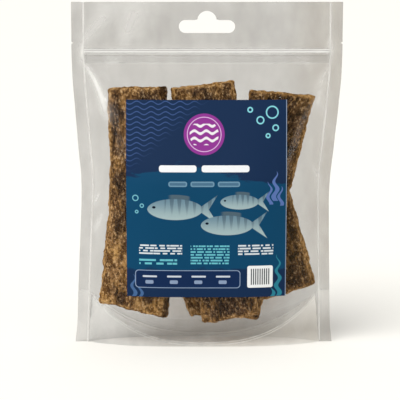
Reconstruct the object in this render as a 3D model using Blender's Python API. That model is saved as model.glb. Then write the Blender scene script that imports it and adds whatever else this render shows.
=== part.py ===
"""A clear stand-up pouch of dried fish skin, with a printed label on its front.

Metres, +Z up, front towards -Y. The origin is on the floor, under the middle of the pouch.
The closed pouch is one solid out to its film. The strips of skin inside it are not cut out of that solid.
"""

import math

import bmesh
import bpy
import numpy as np

# Pouch, as the film is cut: a flat bag 160 mm wide and 205 mm tall.
WIDTH = 0.160
HEIGHT = 0.205
SHEET = 0.0006  # half the thickness of the welded film, front to back
BULGE_POWER = 3.4  # 2 is a plain arc, and more is flatter in front and rounder at the sides
BASE_SHIFT = -0.0019  # the base stands a little to the left of the header

# How far each panel stands out from the middle plane, at heights above the floor.
BULGE = (
    (0.000, 0.0130),
    (0.030, 0.0156),
    (0.070, 0.0186),
    (0.098, 0.0202),
    (0.123, 0.0162),
    (0.147, 0.0104),
    (0.160, 0.0058),
    (0.170, 0.0024),
    (0.180, SHEET),
    (HEIGHT, SHEET),
)

# Welded band down each side, as wide as it looks from the front. It turns a little edge-on beside
# the thick part of the pouch, and its corners splay out on the floor.
SEAL_FLAT = 0.0073
SEAL_TURNED = 0.0066
SEAL_WIDTH = (
    (0.000, 0.0075),
    (0.014, SEAL_TURNED),
    (0.080, SEAL_TURNED),
    (0.115, SEAL_FLAT),
    (HEIGHT, SEAL_FLAT),
)

# Press-to-close zip, a ridge across the pouch between the seals, over the flange that holds it.
ZIP_HEIGHT = 0.1757
ZIP_RIDGE = 0.0007
ZIP_RIDGE_TALL = 0.0024
ZIP_FLANGE = 0.0003
ZIP_FLANGE_DROP = 0.0064

# Tear notches, cut into both side seals just above the zip.
NOTCH_HEIGHT = 0.1810
NOTCH_DEEP = 0.0012
NOTCH_TALL = 0.0011

# Hang hole: a slot with round ends and a round-topped hump in its middle.
SLOT_WIDE = 0.0332
SLOT_TALL = 0.0076
SLOT_BOTTOM = 0.1868
HUMP_WIDE = 0.0116
HANG_HOLE_TALL = 0.0129
HUMP_FILLET = 0.0030

# The gusset under the pouch. It is welded to the front and back panels below two arcs that climb
# towards the side seals, and between those skirts it arches up under the contents.
RIM = 0.0016
WELD_MIDDLE = 0.0040
CROWN_MIDDLE = 0.0105
GUSSET_FOLD = 0.0316
GUSSET_POWER = 2.4
GUSSET_CLOSES = 0.0020  # the slit between the skirts has closed where they are this near each other
SKIRT_STEEPNESS = 8

# Label, a sheet stuck on the outside of the front panel.
LABEL_WIDE = 0.0947
LABEL_SHIFT = -0.0003
LABEL_BOTTOM = 0.0310
LABEL_TOP = 0.1482
LABEL_THICK = 0.00035
LABEL_GAP = 0.00030
BACK_EXTRA = LABEL_THICK + LABEL_GAP  # the back stands out as far as the label does in front

# How finely the curved sheets are divided.
COLUMNS = 34
ROWS = 34
HEADER_ROWS = 5
ARCH_STEPS = 12
LABEL_COLUMNS = 18
LABEL_ROWS = 20
ROUND_STEPS = 10

FILM_COLOUR = (0.72, 0.70, 0.65)
LABEL_COLOUR = (0.017, 0.040, 0.098)


def material(name, colour, roughness, alpha=1.0):
    made = bpy.data.materials.new(name)
    made.use_nodes = True
    shader = made.node_tree.nodes["Principled BSDF"]
    shader.inputs["Base Color"].default_value = (*colour, 1)
    shader.inputs["Roughness"].default_value = roughness
    shader.inputs["Metallic"].default_value = 0
    shader.inputs["Alpha"].default_value = alpha
    return made


def add_object(name, shape, finish):
    bmesh.ops.recalc_face_normals(shape, faces=shape.faces)
    mesh = bpy.data.meshes.new(name)
    shape.to_mesh(mesh)
    shape.free()
    mesh.shade_smooth()
    mesh.set_sharp_from_angle(angle=math.radians(35))
    mesh.materials.append(finish)
    made = bpy.data.objects.new(name, mesh)
    bpy.context.scene.collection.objects.link(made)
    return made


def smooth_through(stations, height):
    """A smooth curve through (height, value) stations, read at one height."""
    at = np.array([station[0] for station in stations])
    value = np.array([station[1] for station in stations])
    chords = np.diff(value) / np.diff(at)
    before, after = chords[:-1], chords[1:]
    level = before * after <= 0
    middle = np.where(level, 0.0, 2 * before * after / np.where(level, 1.0, before + after))
    slope = np.concatenate([[chords[0]], middle, [chords[-1]]])
    step = int(np.clip(np.searchsorted(at, height) - 1, 0, len(at) - 2))
    length = at[step + 1] - at[step]
    t = (height - at[step]) / length
    return float(
        value[step] * (1 + 2 * t) * (1 - t) ** 2
        + slope[step] * length * t * (1 - t) ** 2
        + value[step + 1] * t * t * (3 - 2 * t)
        + slope[step + 1] * length * t * t * (t - 1)
    )


def bulge(height):
    """Half the pouch's thickness on its centre line."""
    return smooth_through(BULGE, height)


def open_half_width(height):
    """Half the width between the seals, which film that bulges out draws in, because it doesn't stretch."""
    flat = WIDTH / 2 - SEAL_FLAT
    across = np.linspace(0, 1, 65)
    profile = bulge(height) * (1 - across**BULGE_POWER)
    low, high = flat / 2, flat
    for _ in range(30):
        half = (low + high) / 2
        arc = np.hypot(np.diff(across * half), np.diff(profile)).sum()
        low, high = (half, high) if arc < flat else (low, half)
    return half


def centre(height):
    """The pouch's middle in X, which moves over to the left towards the floor."""
    share = min(1.0, height / ZIP_HEIGHT)
    return BASE_SHIFT * (1 - share * share * (3 - 2 * share))


def zip_relief(height):
    """How far the zip stands out of the film, at one height."""
    ridge = max(0.0, 1 - (2 * (height - ZIP_HEIGHT) / ZIP_RIDGE_TALL) ** 2)
    flange = ZIP_HEIGHT - ZIP_FLANGE_DROP <= height <= ZIP_HEIGHT
    return max(ZIP_RIDGE * ridge, ZIP_FLANGE if flange else 0.0)


def panel(across, height, extra=0.0):
    """X, and the distance out from the middle plane, at across = -1 to 1. From 1 to 2 it is in a seal."""
    inside = min(1.0, abs(across))
    seal = smooth_through(SEAL_WIDTH, height) * (abs(across) - inside)
    x = centre(height) + math.copysign(open_half_width(height) * inside + seal, across)
    full = 1 - inside**BULGE_POWER
    return x, SHEET + (bulge(height) - SHEET + extra + zip_relief(height) * (inside < 1)) * full


def row_heights():
    """Heights of the rows: even up to the zip, close together on it, and wide apart on the flat header."""
    body = np.linspace(0, ZIP_HEIGHT - ZIP_FLANGE_DROP - 0.0012, ROWS)
    flange = ZIP_HEIGHT - ZIP_FLANGE_DROP + np.array([-0.0002, 0.0002])
    ridge = ZIP_HEIGHT + ZIP_RIDGE_TALL * np.linspace(-0.5, 0.5, 5)
    header = np.linspace(ZIP_HEIGHT + 0.0035, HEIGHT, HEADER_ROWS)
    return np.concatenate([body, flange, ridge, header])


def column_places():
    """Places across the pouch, from the outer edge of one seal (-2) to the other (2)."""
    inner = np.sin(np.linspace(-math.pi / 2, math.pi / 2, COLUMNS) * 0.86) / math.sin(math.pi / 2 * 0.86)
    return np.concatenate([[-2, -1.5], inner, [1.5, 2]])


def underside(shape, across, front_foot, back_foot):
    """The points from the front's foot to the back's, up inside one skirt, over the gusset and down the other."""
    front, back = front_foot.co, back_foot.co
    middle = (front.y + back.y) / 2
    half = (back.y - front.y) / 2
    inner = half - min(RIM, 0.45 * half)
    slit = min(1.0, max(0.0, (inner - SHEET) / GUSSET_CLOSES))
    climb = min(1.0, abs(across)) ** GUSSET_POWER
    weld = slit * (WELD_MIDDLE + (GUSSET_FOLD - WELD_MIDDLE) * climb)
    crown = slit * (CROWN_MIDDLE + (GUSSET_FOLD - CROWN_MIDDLE) * climb)
    arch = []
    for t in np.cos(np.linspace(math.pi, 0, ARCH_STEPS + 1)):
        height = weld * (1 - abs(t) ** SKIRT_STEEPNESS) + (crown - weld) * (1 - t * t)
        arch.append(shape.verts.new((front.x, middle + inner * t, height)))
    return [front_foot, *arch, back_foot]


def bridge(shape, one, other):
    """Quads between two lists of points of the same length."""
    for n in range(len(one) - 1):
        corners = [one[n], one[n + 1], other[n + 1], other[n]]
        shape.faces.new(dict.fromkeys(corners))


def pouch_shape():
    shape = bmesh.new()
    heights = row_heights()
    columns = []
    for across in column_places():
        front, back = [], []
        for height in heights:
            x, out = panel(across, height)
            front.append(shape.verts.new((x, -out, height)))
            x, out = panel(across, height, BACK_EXTRA)
            back.append(shape.verts.new((x, out, height)))
        under = underside(shape, across, front[0], back[0])
        columns.append((front, back, under))
    for left, right in zip(columns, columns[1:]):
        for side in range(3):
            bridge(shape, left[side], right[side])
        bridge(shape, [left[0][-1], left[1][-1]], [right[0][-1], right[1][-1]])
    for front, back, under in (columns[0], columns[-1]):
        bridge(shape, front[1:], back[1:])
        shape.faces.new([*under, back[1], front[1]])
    return shape


def arc(middle, radius, start, end):
    """Points of an arc in X and Z, from one angle to another in degrees."""
    return [
        (middle[0] + radius * math.cos(a), middle[1] + radius * math.sin(a))
        for a in np.radians(np.linspace(start, end, ROUND_STEPS))
    ]


def hang_hole_outline():
    """The slot's right end, the fillet up to the hump and half the hump, then the same mirrored."""
    half_slot = SLOT_TALL / 2
    end = (SLOT_WIDE / 2 - half_slot, SLOT_BOTTOM + half_slot)
    hump = HUMP_WIDE / 2
    slot_top = SLOT_BOTTOM + SLOT_TALL
    fillet = (hump + HUMP_FILLET, slot_top + HUMP_FILLET)
    crown = SLOT_BOTTOM + HANG_HOLE_TALL - hump
    right = arc(end, half_slot, -90, 90)
    right += arc((fillet[0], min(fillet[1], crown)), min(HUMP_FILLET, crown - slot_top), 270, 180)
    right += arc((0, crown), hump, 0, 90)[1:-1]
    left = [(-x, z) for x, z in reversed(right)]
    top = (0, SLOT_BOTTOM + HANG_HOLE_TALL)
    return [*right, top, *left]


def prism(name, outline, depth):
    """A cutter: an outline in X and Z, pushed through the pouch from front to back."""
    shape = bmesh.new()
    face = shape.faces.new([shape.verts.new((x, -depth / 2, z)) for x, z in outline])
    pushed = bmesh.ops.extrude_face_region(shape, geom=[face])["geom"]
    moved = [v for v in pushed if isinstance(v, bmesh.types.BMVert)]
    bmesh.ops.translate(shape, verts=moved, vec=(0, depth, 0))
    bmesh.ops.recalc_face_normals(shape, faces=shape.faces)
    mesh = bpy.data.meshes.new(name)
    shape.to_mesh(mesh)
    shape.free()
    made = bpy.data.objects.new(name, mesh)
    bpy.context.scene.collection.objects.link(made)
    return made


def cut(solid, cutter):
    """Cuts one shape out of a solid and removes the cutter."""
    modifier = solid.modifiers.new("cut", "BOOLEAN")
    modifier.operation = "DIFFERENCE"
    modifier.object = cutter
    bpy.context.view_layer.objects.active = solid
    bpy.ops.object.modifier_apply(modifier=modifier.name)
    bpy.data.objects.remove(cutter)


def notch_outline(side):
    """A V that opens at the outer edge of the left (-1) or right (1) seal."""
    edge = side * WIDTH / 2
    outside = edge + side * NOTCH_DEEP
    return [
        (edge - side * NOTCH_DEEP, NOTCH_HEIGHT),
        (outside, NOTCH_HEIGHT + NOTCH_TALL),
        (outside, NOTCH_HEIGHT - NOTCH_TALL),
    ]


def make_pouch():
    film = material("film", FILM_COLOUR, 0.25, 0.6)
    pouch = add_object("pouch", pouch_shape(), film)
    through = 8 * SHEET
    cut(pouch, prism("hang_hole", hang_hole_outline(), through))
    for side in (-1, 1):
        cut(pouch, prism("notch", notch_outline(side), through))
    return pouch


def across_at(x, height):
    """The place across the pouch, between the seals, of a distance from its centre line."""
    return x / open_half_width(height)


def make_label():
    """The label follows the front panel, a hair's breadth in front of it."""
    shape = bmesh.new()
    sheets = {LABEL_GAP: [], LABEL_GAP + LABEL_THICK: []}
    for height in np.linspace(LABEL_BOTTOM, LABEL_TOP, LABEL_ROWS):
        for gap, rows in sheets.items():
            row = []
            for x in LABEL_SHIFT + LABEL_WIDE * np.linspace(-0.5, 0.5, LABEL_COLUMNS):
                _, out = panel(across_at(x - centre(height), height), height)
                row.append(shape.verts.new((x, -out - gap, height)))
            rows.append(row)
    inner, outer = sheets.values()
    for rows in (inner, outer):
        for low, high in zip(rows, rows[1:]):
            bridge(shape, low, high)
    for side in (0, -1):
        bridge(shape, [row[side] for row in inner], [row[side] for row in outer])
        bridge(shape, inner[side], outer[side])
    return add_object("label", shape, material("label_print", LABEL_COLOUR, 0.4))


def main():
    for old in list(bpy.data.objects):
        bpy.data.objects.remove(old)
    make_pouch()
    make_label()


main()
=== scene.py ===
import math
from functools import partialmethod

import bmesh
import bpy
import numpy as np
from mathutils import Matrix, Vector


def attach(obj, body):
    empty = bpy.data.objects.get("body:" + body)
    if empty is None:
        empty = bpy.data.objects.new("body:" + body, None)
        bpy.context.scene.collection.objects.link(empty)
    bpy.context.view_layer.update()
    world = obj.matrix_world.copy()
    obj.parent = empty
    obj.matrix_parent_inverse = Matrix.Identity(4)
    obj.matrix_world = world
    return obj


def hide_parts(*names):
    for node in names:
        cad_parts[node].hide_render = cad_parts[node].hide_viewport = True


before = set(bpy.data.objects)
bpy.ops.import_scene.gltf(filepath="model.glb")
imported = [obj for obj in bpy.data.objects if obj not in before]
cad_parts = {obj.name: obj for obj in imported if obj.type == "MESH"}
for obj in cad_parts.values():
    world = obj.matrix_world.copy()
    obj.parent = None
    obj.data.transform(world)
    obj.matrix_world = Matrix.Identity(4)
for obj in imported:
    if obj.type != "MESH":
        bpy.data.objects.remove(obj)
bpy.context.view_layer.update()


# ---------------- camera
# The view of a product photograph: a long lens, a little above the middle of the pouch and square to
# its front. The aim is the point that falls in the middle of the picture.
LENS_MM = 135
SENSOR_MM = 36
AIM = Vector((-0.0041, 0, 0.0871))
CAMERA_DISTANCE = 0.9
CAMERA_ELEVATION = math.radians(9)


def new_object(name, data):
    made = bpy.data.objects.new(name, data)
    bpy.context.scene.collection.objects.link(made)
    return made


camera = new_object("camera", bpy.data.cameras.new("camera"))
camera.data.lens = LENS_MM
camera.data.sensor_width = SENSOR_MM
toward_camera = Vector((0, -math.cos(CAMERA_ELEVATION), math.sin(CAMERA_ELEVATION)))
camera.location = AIM + CAMERA_DISTANCE * toward_camera
camera.rotation_euler = toward_camera.to_track_quat("Z", "Y").to_euler()
bpy.context.scene.camera = camera
bpy.context.scene.view_settings.view_transform = "Standard"


# ---------------- floor and light
# A white floor under soft light: a wide key light high in front and to the left, and the even white of
# the room all round. Three weak softboxes, two tall and one low and wide, give the film its gloss.


class Wire:
    """The output of a node. Sums of wires and numbers add the Math nodes that work them out."""

    def __init__(self, nodes, socket):
        self.nodes = nodes
        self.socket = socket

    def math(self, operation, *others):
        values = dict(enumerate((self, *others)))
        return self.nodes.add("ShaderNodeMath", {"operation": operation}, values)

    __add__ = partialmethod(math, "ADD")
    __sub__ = partialmethod(math, "SUBTRACT")
    __mul__ = __rmul__ = partialmethod(math, "MULTIPLY")
    __truediv__ = partialmethod(math, "DIVIDE")
    __abs__ = partialmethod(math, "ABSOLUTE")

    def __rsub__(self, other):
        return self.nodes.add("ShaderNodeMath", {"operation": "SUBTRACT"}, {0: other, 1: self})

    def vector(self, operation, other=(0, 0, 0)):
        """Vector maths with a wire or with a plain vector."""
        return self.nodes.add("ShaderNodeVectorMath", {"operation": operation}, {0: self, 1: other})

    def drawn_out(self, share):
        """A place whose height is cut to a share, to draw a pattern out."""
        return self.vector("MULTIPLY", (1, 1, share))

    def xyz(self):
        split = self.nodes.add("ShaderNodeSeparateXYZ", sockets={0: self}).socket.node
        return [Wire(self.nodes, split.outputs[n]) for n in range(3)]

    def rise(self, low, high):
        """0 below low, 1 above high, and smooth between. With low above high it falls instead."""
        sockets = {0: self, 1: low, 2: high}
        return self.nodes.add("ShaderNodeMapRange", {"interpolation_type": "SMOOTHSTEP"}, sockets)

    def blend(self, under, over):
        """The colour under where this is 0, and over where it is 1."""
        sockets = {0: self, 6: colour_of(under), 7: colour_of(over)}
        return self.nodes.add("ShaderNodeMix", {"data_type": "RGBA"}, sockets, 2)


def colour_of(value):
    return value if isinstance(value, Wire) else (*value, 1)


class Nodes:
    """A node tree that is written as sums, and the shader that it feeds."""

    def __init__(self, tree, shader=None):
        self.tree = tree
        self.shader = shader

    def add(self, kind, settings=None, sockets=None, output=0):
        """Makes a node: its settings first, and then each socket's value or wire."""
        made = self.tree.nodes.new(kind)
        for name, value in (settings or {}).items():
            setattr(made, name, value)
        for key, value in (sockets or {}).items():
            if isinstance(value, Wire):
                self.tree.links.new(value.socket, made.inputs[key])
            else:
                made.inputs[key].default_value = value
        return Wire(self, made.outputs[output])

    def noise(self, place, scale, detail=2, roughness=0.5):
        sockets = {"Vector": place, "Scale": scale, "Detail": detail, "Roughness": roughness}
        return self.add("ShaderNodeTexNoise", sockets=sockets)

    def attribute(self, name, output=2):
        """An attribute of the mesh: a number with output 2, a vector with 1."""
        return self.add("ShaderNodeAttribute", {"attribute_name": name}, output=output)

    def place(self):
        """Where on the piece a point is, in metres."""
        return self.add("ShaderNodeTexCoord", output=3)

    def feed(self, name, wire):
        self.tree.links.new(wire.socket, self.shader.inputs[name])


def new_material(name, **constants):
    """A material and its nodes, with the values that are the same all over."""
    made = bpy.data.materials.new(name)
    made.use_nodes = True
    shader = made.node_tree.nodes["Principled BSDF"]
    for key, value in constants.items():
        shader.inputs[key.replace("_", " ").title().replace("Ior", "IOR")].default_value = value
    return made, Nodes(made.node_tree, shader)


FLOOR_RADIUS = 14
FLOOR_WHITE = (0.95, 0.93, 0.87)
ROOM_LIGHT = 0.6
KEY_TOWARD = (-0.58, -0.62, 1)
KEY_STRENGTH = 2.5
KEY_WIDTH_DEGREES = 46

floor_material, floor_nodes = new_material("floor_white", roughness=0.8)
floor_place = floor_nodes.place()
floor_grain = floor_nodes.noise(floor_place, 3)
floor_colour = floor_grain.blend(FLOOR_WHITE, tuple(0.99 * c for c in FLOOR_WHITE))
floor_nodes.feed("Base Color", floor_colour)
floor_shape = bmesh.new()
bmesh.ops.create_circle(floor_shape, cap_ends=True, segments=96, radius=FLOOR_RADIUS)
floor_mesh = bpy.data.meshes.new("floor")
floor_shape.to_mesh(floor_mesh)
floor_shape.free()
floor_mesh.materials.append(floor_material)
new_object("floor", floor_mesh)

# The room's even light falls on everything, but only the softboxes show as reflections.
room = bpy.data.worlds.new("room")
room.use_nodes = True
backdrop = Nodes(room.node_tree)
seen = backdrop.add("ShaderNodeLightPath")
strength = seen * (1 - ROOM_LIGHT) + ROOM_LIGHT
background = room.node_tree.nodes["Background"]
background.inputs["Color"].default_value = (1, 1, 1, 1)
room.node_tree.links.new(strength.socket, background.inputs["Strength"])
room.cycles_visibility.glossy = False
bpy.context.scene.world = room

key = bpy.data.lights.new("key", "SUN")
key.energy = KEY_STRENGTH
key.angle = math.radians(KEY_WIDTH_DEGREES)
key_lamp = new_object("key", key)
key_lamp.rotation_euler = Vector(KEY_TOWARD).to_track_quat("Z", "Y").to_euler()
SOFTBOX_AIM = Vector((0, 0, 0.1))
SOFTBOXES = (  # name, place, width, height and watts
    ("left_softbox", (-1, -1.1, 0.45), 0.25, 0.9, 4.5),
    ("right_softbox", (1.1, -1, 0.4), 0.18, 0.8, 4),
    ("low_softbox", (-0.1, -1.5, 0.52), 1.3, 0.16, 9),
)
for light_name, place, wide, tall, watts in SOFTBOXES:
    light = bpy.data.lights.new(light_name, "AREA")
    light.shape = "RECTANGLE"
    light.size = wide
    light.size_y = tall
    light.energy = watts
    softbox = new_object(light_name, light)
    softbox.location = place
    softbox.rotation_euler = (Vector(place) - SOFTBOX_AIM).to_track_quat("Z", "Y").to_euler()
    softbox.visible_diffuse = False


# ---------------- dried skin strips
# Strips of fish skin, rolled together, pressed flat and dried hard. They are dark where the outer skin
# shows, golden along the edges, and covered in short ridges. Five lie loose in the pouch, in two layers.
STRIP_THICK = 0.0056
STEP_ALONG = 0.0005  # how far apart the points of a strip's mesh are
SEED_STEP = 0.173  # how far each step of a seed moves the pattern of the skin

# The corners of each strip's middle sheet, in millimetres: foot left and right, head left and right.
# Then how far its middle bows to the right, the width of the margin that curls back on the right, how
# pale the skin is at the foot and at the head, and a seed.
STRIPS = {
    "strip_left": (
        (-65.6, -1.5, 24.8), (-22.2, -7.8, 15.8), (-59, 1.2, 154.4), (-23.8, -4.8, 155.4),
        3.8, 6.5, (1.9, 0.05), 3,
    ),
    "strip_middle": (
        (-2.4, -8.8, 13.6), (31.2, -8.2, 19.4), (-21, -3, 154.6), (15.6, -2.8, 159.3),
        0, 0, (-1.15, 0.95), 11,
    ),
    "strip_right": (
        (-2, -1.2, 20), (31.4, -0.6, 14), (24.8, 0, 153.8), (64.6, 0.6, 149.6),
        -1.2, 0, (-0.6, -0.5), 7,
    ),
    "strip_back_left": (
        (-10.5, 5.8, 14.6), (27, 5.8, 19.5), (-50, 4.6, 125), (-14, 4.6, 133),
        0, 0, (0.25, 0.4), 19,
    ),
    "strip_back_right": (
        (29.4, 8, 22.4), (65.4, 0.8, 35.2), (3, 9, 129), (38, 4.6, 134),
        0, 0, (-0.75, -0.2), 23,
    ),
}


def geometry_tree(name, *numbers):
    """A geometry tree that takes a mesh, these numbers and a material: its nodes and its wires."""
    tree = bpy.data.node_groups.new(name, "GeometryNodeTree")
    tree.interface.new_socket("Geometry", in_out="OUTPUT", socket_type="NodeSocketGeometry")
    kinds = {"Geometry": "Geometry", **dict.fromkeys(numbers, "Float"), "Material": "Material"}
    for title, kind in kinds.items():
        tree.interface.new_socket(title, in_out="INPUT", socket_type="NodeSocket" + kind)
    nodes = Nodes(tree)
    start = tree.nodes.new("NodeGroupInput")
    return nodes, {title: Wire(nodes, start.outputs[title]) for title in kinds}


def close_tree(nodes, geometry, material_wire):
    """Ends a tree: instances become mesh, and the mesh gets its material."""
    real = nodes.add("GeometryNodeRealizeInstances", sockets={0: geometry})
    painted = nodes.add("GeometryNodeSetMaterial", sockets={"Geometry": real, "Material": material_wire})
    end = nodes.tree.nodes.new("NodeGroupOutput")
    nodes.tree.links.new(painted.socket, end.inputs[0])


def plain_mesh(piece):
    """The mesh that a piece's modifiers make."""
    bpy.context.view_layer.update()
    made = piece.evaluated_get(bpy.context.evaluated_depsgraph_get())
    return bpy.data.meshes.new_from_object(made)


def grow(name, nodes, values, start=None):
    """What comes out of a geometry tree with these values."""
    mesh = start or bpy.data.meshes.new(name)
    holder = new_object(name + "_tree", mesh)
    modifier = holder.modifiers.new("tree", "NODES")
    modifier.node_group = nodes.tree
    for item in nodes.tree.interface.items_tree:
        if item.in_out == "INPUT" and item.name in values:
            modifier[item.identifier] = values[item.name]
    grown = plain_mesh(holder)
    grown.name = name
    bpy.data.objects.remove(holder)
    return grown


strip_numbers = ("Width", "Thickness", "Length", "Step", "Curl", "Seed")
strip_nodes, strip = geometry_tree("dried_strip", *strip_numbers)
CORNER_RADIUS = 0.0014
EDGE_ROUND = 0.0016
MARGIN_UNIT = 0.006  # distances from a strip's outline are counted in this
CURL_IN = -32  # how far in and back a margin curls, times the square of the way past its start
CURL_BACK = 118
FOLD_RELIEF = 0.002
RIDGE_RELIEF = 0.0006
CRUMB_RELIEF = 0.00025
VEIN_RELIEF = 0.0003
# How a strip is bent out of true: the scale of each noise, and its reach along the three axes.
WOBBLES = (
    (24, (0.004, 0.0034, 0.003)),
    (120, (0.0026, 0.0012, 0.0022)),
    (420, (0.0009, 0.0004, 0.0009)),
)


def store(geometry, name, value, kind="FLOAT"):
    """Keeps a value at the points of a strip."""
    return strip_nodes.add(
        "GeometryNodeStoreNamedAttribute",
        {"data_type": kind, "domain": "POINT"},
        {"Geometry": geometry, "Name": name, "Value": value},
    )


def joined(x, y, z):
    return strip_nodes.add("ShaderNodeCombineXYZ", sockets={0: x, 1: y, 2: z})


# A block of points gets round edges, is bent out of true, and is roughened along its normals.
add, noise = strip_nodes.add, strip_nodes.noise
width, thick, length = strip["Width"], strip["Thickness"], strip["Length"]
counts = {"Vertices X": width, "Vertices Y": thick, "Vertices Z": length}
counts = {axis: reach / strip["Step"] for axis, reach in counts.items()}
block = add("GeometryNodeMeshCube", sockets={"Size": joined(width, thick, length), **counts})

# Corners as seen from the front first, then the edges' round profile.
place = add("GeometryNodeInputPosition")
core = joined(width * 0.5, thick * 0.5, length * 0.5).vector("SUBTRACT", (CORNER_RADIUS,) * 3)
inner = place.vector("MAXIMUM", core.vector("MULTIPLY", (-1, -1, -1))).vector("MINIMUM", core)
out = place.vector("SUBTRACT", inner).vector("NORMALIZE")
x, y, z = inner.vector("ADD", out.vector("MULTIPLY", (CORNER_RADIUS,) * 3)).xyz()
depth = (abs(y) / (thick * 0.5)).math("MINIMUM", 1)
inset = (1 - (1 - depth * depth).math("SQRT")) * EDGE_ROUND
x = x * (1 - inset / (width * 0.5))
z = z * (1 - inset / (length * 0.5))
bent = joined(x, y, z)
local = bent.vector("ADD", joined(strip["Seed"], 0, strip["Seed"] * 1.7))
for scale, reach in WOBBLES:
    sockets = {"Vector": local, "Scale": scale, "Detail": 1}
    wander = add("ShaderNodeTexNoise", sockets=sockets, output=1).vector("SUBTRACT", (0.5, 0.5, 0.5))
    bent = bent.vector("ADD", wander.vector("MULTIPLY", reach))
# Past its start the right margin curls back, in a curve that steepens.
past = (x - width * 0.5 + strip["Curl"]).math("MAXIMUM", 0)
curl = joined(past * past * CURL_IN, past * past * CURL_BACK, 0)
sockets = {"Geometry": block, "Position": bent.vector("ADD", curl)}
shaped = add("GeometryNodeSetPosition", sockets=sockets)

# How far in from the outline a place is, in margin units.
edge = (width * 0.5 - abs(x)).math("MINIMUM", length * 0.5 - abs(z)) / MARGIN_UNIT
shaped = store(shaped, "skin", local, "FLOAT_VECTOR")
shaped = store(shaped, "inside", edge)
shaped = store(shaped, "along", z / length + 0.5)
shaped = store(shaped, "curled", past / MARGIN_UNIT)

skin = add("GeometryNodeInputNamedAttribute", {"data_type": "FLOAT_VECTOR"}, {"Name": "skin"})
folds = noise(skin.drawn_out(0.42), 105) - 0.5
ridges = noise(skin.drawn_out(0.75), 360, 2, 0.6) - 0.5
cells = {"Vector": skin.drawn_out(0.7), "Scale": 560, "Randomness": 1}
crumbs = 0.5 - add("ShaderNodeTexVoronoi", sockets=cells)
forks = noise(skin.drawn_out(0.28), 150)
veins = abs(forks - 0.5).rise(0.022, 0.006)
relief = folds * FOLD_RELIEF + ridges * RIDGE_RELIEF + crumbs * CRUMB_RELIEF + veins * VEIN_RELIEF
normal = add("GeometryNodeInputNormal")
push = add("ShaderNodeVectorMath", {"operation": "SCALE"}, {0: normal, "Scale": relief})
rough = add("GeometryNodeSetPosition", sockets={"Geometry": shaped, "Offset": push})
rough = store(rough, "height", relief * 1000)
rough = store(rough, "veins", veins)
close_tree(strip_nodes, rough, strip["Material"])

SKIN_LEVEL = 1.55  # the film takes light off what lies behind it, so the skin itself is lighter
# The skin's colours as a screen shows them, dark and light: the grain moves between them, and painted
# shade makes the hollows darker and the ridges lighter.
FLESH = ((60, 39, 20), (134, 99, 60))
GOLD = ((96, 64, 28), (184, 144, 88))
NIGHT = ((20, 12, 7), (74, 52, 34))
VEIN = (170, 126, 68)
# Light specks, partly crumbs and partly painted glints.
SPECK_AND_GLINT = (206, 176, 132)


def linear(*rgb):
    """A colour as seen on a screen, 0 to 255, as the light that shaders work in."""
    return tuple(c / 255 / 12.92 if c <= 10 else ((c / 255 + 0.055) / 1.055) ** 2.4 for c in rgb)


def skin_tone(rgb):
    return tuple(SKIN_LEVEL * c for c in linear(*rgb))


def skin_material(name, pale):
    """Dried fish skin: charcoal patches on amber flesh, golden margins, and light specks that are partly
    crumbs and partly painted glints.
    """
    made, nodes = new_material(name, specular_ior_level=0.12, coat_roughness=0.2)
    noise = nodes.noise
    skin = nodes.attribute("skin", 1)
    kept = ("inside", "along", "height", "veins", "curled")
    inside, along, height, veins, curled = (nodes.attribute(value) for value in kept)

    # Patches of the outer skin run lengthwise, inside a margin of bare flesh.
    patches = noise(skin.drawn_out(0.5), 85, 2, 0.6)
    ragged = noise(skin.drawn_out(0.8), 330, 3, 0.7) - 0.5
    margin = (inside + ragged * 1.6).rise(0.25, 0.95)
    fair = along * (pale[1] - pale[0]) + pale[0]
    # The dark patches of outer skin, which below also take the painted shade of the curled margin.
    dark_skin_and_curl_shade = patches + ragged * 0.3 + inside.rise(0.6, 2.2) * 0.06 - fair * 0.12 - 0.42
    dark_skin_and_curl_shade = dark_skin_and_curl_shade.rise(-0.05, 0.1) * margin
    warmth = noise(skin.drawn_out(0.5), 130)
    rim = (inside + ragged * 1.8).rise(0.9, 0.05)
    golden = (rim * 0.5 + warmth.rise(0.42, 0.64) * (fair * 0.45 + 0.3)).math("MINIMUM", 1)
    # Where the margin is curled back, it turns from the light and is painted darker: painted shade.
    dark_skin_and_curl_shade = dark_skin_and_curl_shade.math("MAXIMUM", curled.rise(0.1, 0.3) * curled.rise(1.05, 0.75) * 0.85)

    # The grain is finer than a millimetre and drawn out a little along the strip.
    fine = noise(skin.drawn_out(0.6), 840, 2, 0.7)
    lumps = noise(skin.drawn_out(0.55), 250, 2, 0.6)
    # The height term is painted shade: it darkens the hollows and lightens the ridges.
    grain_and_hollow_shade = fine * 1.35 + lumps * 0.8 - 0.575 + ragged * 0.45 + height * 0.07
    grain_and_hollow_shade = grain_and_hollow_shade.rise(0.32, 0.7)
    crumbs = nodes.add("ShaderNodeTexVoronoi", sockets={"Vector": skin.drawn_out(0.7), "Scale": 900})
    # Light specks: partly crumbs and partly painted glints.
    specks_and_glints = (fine + lumps * 0.3 - crumbs * 0.3).rise(0.6, 0.68)

    tones = (FLESH, GOLD, NIGHT)
    flesh, gold, night = (grain_and_hollow_shade.blend(skin_tone(low), skin_tone(high)) for low, high in tones)
    colour = dark_skin_and_curl_shade.blend(golden.blend(flesh, gold), night)
    colour = (veins * 0.3).blend(colour, skin_tone(VEIN))
    colour = (specks_and_glints * (0.5 - dark_skin_and_curl_shade * 0.22)).blend(colour, skin_tone(SPECK_AND_GLINT))
    nodes.feed("Base Color", colour)
    nodes.feed("Roughness", fine.rise(0.35, 0.7) * -0.25 + 0.65)
    nodes.feed("Coat Weight", specks_and_glints * 0.22)
    grain = {"Strength": 0.5, "Distance": 0.0005, "Height": fine + ragged * 0.5}
    nodes.feed("Normal", nodes.add("ShaderNodeBump", sockets=grain))
    return made


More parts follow.
